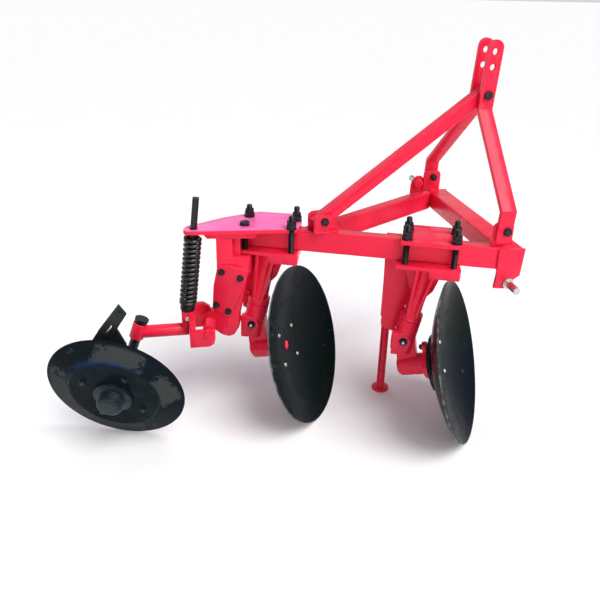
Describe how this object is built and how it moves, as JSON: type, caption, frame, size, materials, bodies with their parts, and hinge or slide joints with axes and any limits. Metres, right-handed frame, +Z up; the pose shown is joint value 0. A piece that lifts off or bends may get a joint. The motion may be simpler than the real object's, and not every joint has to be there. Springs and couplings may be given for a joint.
{
  "type": "disc plough",
  "caption": "Mounted disc plough with two concave discs on a slanting beam, a three-point hitch mast, a sprung rear furrow wheel and a parking stand.",
  "frame": {"origin": "Middle of the bounding box, seen from above, on the floor that the plough is parked on.", "axes": "+X is the direction of travel, towards the tractor; +Y is to the left; +Z is up."},
  "size_m": [1.8116, 1.1447, 1.5092],
  "materials": {
    "red_enamel": "glossy red enamel",
    "black_paint": "black hardware and paint",
    "disc_black": "glossy black disc paint",
    "hub_black": "painted hub casting",
    "bare_steel": "bare turned steel",
    "wheel_black": "black paint with dust"
  },
  "bodies": {
    "frame": {"arm_yoke": "red_enamel", "cross_beam": "red_enamel", "end_plate_left": "red_enamel", "end_plate_right": "red_enamel", "foot_bolt_left": "black_paint", "foot_bolt_right": "black_paint", "frame_brace": "red_enamel", "front_carrier": "red_enamel", "front_clamp_plate": "red_enamel", "front_standard": "red_enamel", "front_stud_a": "black_paint", "front_stud_b": "black_paint", "front_stud_c": "black_paint", "front_stud_d": "black_paint", "hitch_pin_left": "bare_steel", "hitch_pin_right": "bare_steel", "king_sleeve": "red_enamel", "main_beam": "red_enamel", "mast_bolt": "black_paint", "mast_leg_left": "red_enamel", "mast_leg_right": "red_enamel", "mast_lug_left": "red_enamel", "mast_lug_right": "red_enamel", "mast_stay": "red_enamel", "pivot_pin": "red_enamel", "pivot_tube": "red_enamel", "rear_carrier": "red_enamel", "rear_standard": "red_enamel", "rear_stud_a": "black_paint", "rear_stud_b": "black_paint", "rear_stud_c": "black_paint", "rear_stud_d": "black_paint", "rear_top_plate": "red_enamel", "spring": "black_paint", "spring_clevis": "red_enamel", "spring_rod": "black_paint", "spring_seat": "black_paint", "stand_bracket": "red_enamel", "stay_bolt": "black_paint", "stay_ear_left": "red_enamel", "stay_ear_right": "red_enamel", "wheel_arm": "red_enamel", "wheel_bracket_plate": "red_enamel", "wheel_casting": "red_enamel"},
    "front_disc_body": {"front_disc": "disc_black", "front_hub": "hub_black"},
    "rear_disc_body": {"rear_disc": "disc_black", "rear_hub": "hub_black"},
    "wheel_carrier": {"wheel_axle": "black_paint", "king_cap": "black_paint", "scraper_bar": "black_paint", "scraper_plate": "black_paint"},
    "wheel_body": {"wheel": "wheel_black", "wheel_hub": "wheel_black"},
    "stand_body": {"stand_leg": "red_enamel"}
  },
  "joints": [
    {"name": "front_disc_spin", "type": "hinge", "parent": "frame", "child": "front_disc_body", "pos_m": [0.54821, -0.18906, 0.26329], "axis": [0.8182, -0.5004, 0.283], "continuous": true},
    {"name": "rear_disc_spin", "type": "hinge", "parent": "frame", "child": "rear_disc_body", "pos_m": [-0.03705, 0.0468, 0.26329], "axis": [0.8182, -0.5004, 0.283], "continuous": true},
    {"name": "wheel_steer", "type": "hinge", "parent": "frame", "child": "wheel_carrier", "pos_m": [-0.56092, 0.02835, 0.38741], "axis": [0.342, 0, 0.9397], "range_deg": [-15, 15]},
    {"name": "wheel_spin", "type": "hinge", "parent": "wheel_carrier", "child": "wheel_body", "pos_m": [-0.64804, -0.18265, 0.25698], "axis": [-0.2925, -0.9073, -0.302], "continuous": true},
    {"name": "stand_slide", "type": "slide", "parent": "frame", "child": "stand_body", "axis": [0, 0, 1], "range_m": [0, 0.21]}
  ]
}
